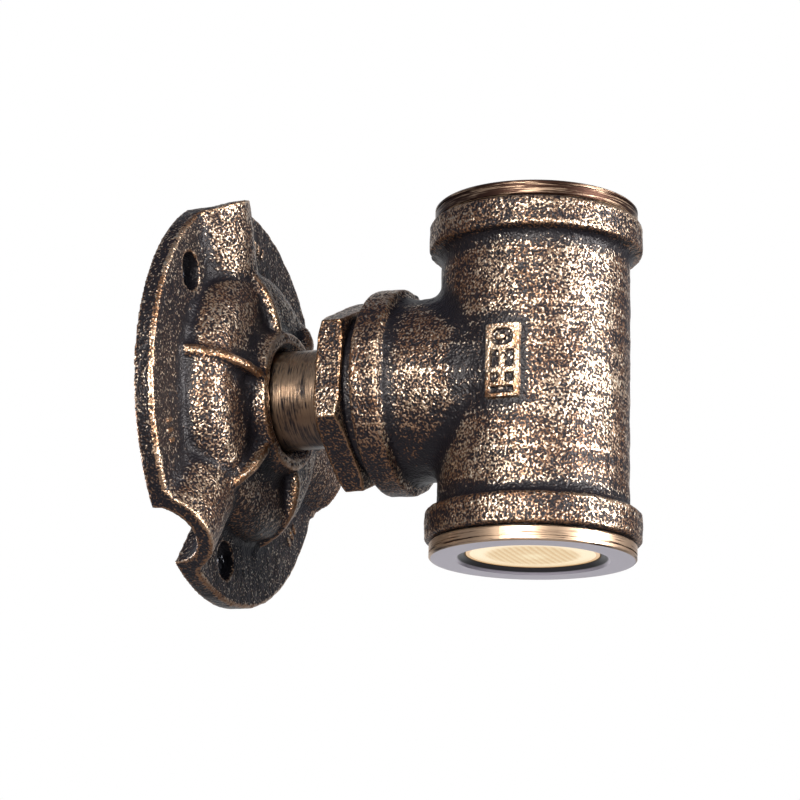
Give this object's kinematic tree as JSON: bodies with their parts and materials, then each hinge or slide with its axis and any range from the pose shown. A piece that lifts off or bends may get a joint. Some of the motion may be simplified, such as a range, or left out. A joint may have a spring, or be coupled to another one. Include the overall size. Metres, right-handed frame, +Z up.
{
  "type": "wall light",
  "caption": "Pipe-style wall light: round cast flange with arched channels, pipe nipple, hex bushing and a banded tee with a round lit lens at each end.",
  "frame": {"origin": "The centre of the flange's flat back, on the wall plane and on the pipe nipple's axis.", "axes": "+Y points into the wall, so the light stands out along -Y; +Z is up; +X is to the right for someone who faces the wall."},
  "size_m": [0.1, 0.1059, 0.1],
  "materials": {
    "cast_iron_aged": "sand-cast iron, painted near-black and rubbed with copper and gold on the raised parts",
    "pipe_iron": "drawn pipe, dark with fine turning marks and a gold rub",
    "ring_bronze": "machined ring, dark bronze with turned lines",
    "lens_frosted": "clear acrylic lens lit from behind, with a fine pattern of beads",
    "gasket_rubber": "black silicone",
    "sink_aluminium": "plain machined",
    "light_board_white": "white solder mask",
    "light_source_yellow": "yellow phosphor, lit",
    "screw_steel": "zinc plated",
    "screw_brass": "plain",
    "terminal_white": "moulded nylon",
    "cable_jacket": "grey insulation",
    "core_black": "black insulation",
    "core_white": "white insulation",
    "earth_green": "green insulation",
    "driver_shell": "moulded, dark grey",
    "board_green": "green solder mask",
    "transformer_tape": "insulating tape",
    "capacitor_sleeve": "shrunk sleeve",
    "choke_copper": "enamelled winding"
  },
  "bodies": {
    "wall_body": {"wall_flange": "cast_iron_aged", "pipe_nipple": "pipe_iron", "terminal_block": "terminal_white", "terminal_screws": "screw_brass", "terminal_fixing_screw": "screw_steel", "earth_screw": "screw_brass", "earth_lug": "screw_brass", "earth_lead": "earth_green", "live_core": "core_black", "neutral_core": "core_white", "supply_cable": "cable_jacket"},
    "head": {"hex_bushing": "cast_iron_aged", "tee_fitting": "cast_iron_aged", "driver_case": "driver_shell", "driver_cover": "driver_shell", "driver_board": "board_green", "driver_input_terminal": "terminal_white", "driver_transformer": "transformer_tape", "driver_capacitor": "capacitor_sleeve", "driver_choke": "choke_copper", "lower_heat_sink": "sink_aluminium", "lower_light_board": "light_board_white", "lower_light_source": "light_source_yellow", "lower_board_screws": "screw_steel", "lower_light_leads": "cable_jacket", "upper_heat_sink": "sink_aluminium", "upper_light_board": "light_board_white", "upper_light_source": "light_source_yellow", "upper_board_screws": "screw_steel", "upper_light_leads": "cable_jacket"},
    "lower_lens_body": {"lower_lens": "lens_frosted", "lower_lens_gasket": "gasket_rubber"},
    "lower_ring": {"lower_retaining_ring": "ring_bronze"},
    "upper_lens_body": {"upper_lens": "lens_frosted", "upper_lens_gasket": "gasket_rubber"},
    "upper_ring": {"upper_retaining_ring": "ring_bronze"}
  },
  "joints": [
    {"name": "head_swivel", "type": "hinge", "parent": "wall_body", "child": "head", "pos_m": [0, 0, 0], "axis": [0, -1, 0], "range_deg": [-90, 90]},
    {"name": "lower_ring_travel", "type": "slide", "parent": "head", "child": "lower_lens_body", "axis": [0, 0, -1], "range_m": [0, 0.006]},
    {"name": "lower_ring_turn", "type": "hinge", "parent": "lower_lens_body", "child": "lower_ring", "pos_m": [0, -0.08055, 0], "axis": [0, 0, -1], "range_deg": [0, 1440]},
    {"name": "upper_ring_travel", "type": "slide", "parent": "head", "child": "upper_lens_body", "axis": [0, 0, 1], "range_m": [0, 0.006]},
    {"name": "upper_ring_turn", "type": "hinge", "parent": "upper_lens_body", "child": "upper_ring", "pos_m": [0, -0.08055, 0], "axis": [0, 0, 1], "range_deg": [0, 1440]}
  ],
  "couplings": [
    {"joint": "lower_ring_travel", "follows": "lower_ring_turn", "m_per_rad": 0.0002387},
    {"joint": "upper_ring_travel", "follows": "upper_ring_turn", "m_per_rad": 0.0002387}
  ]
}
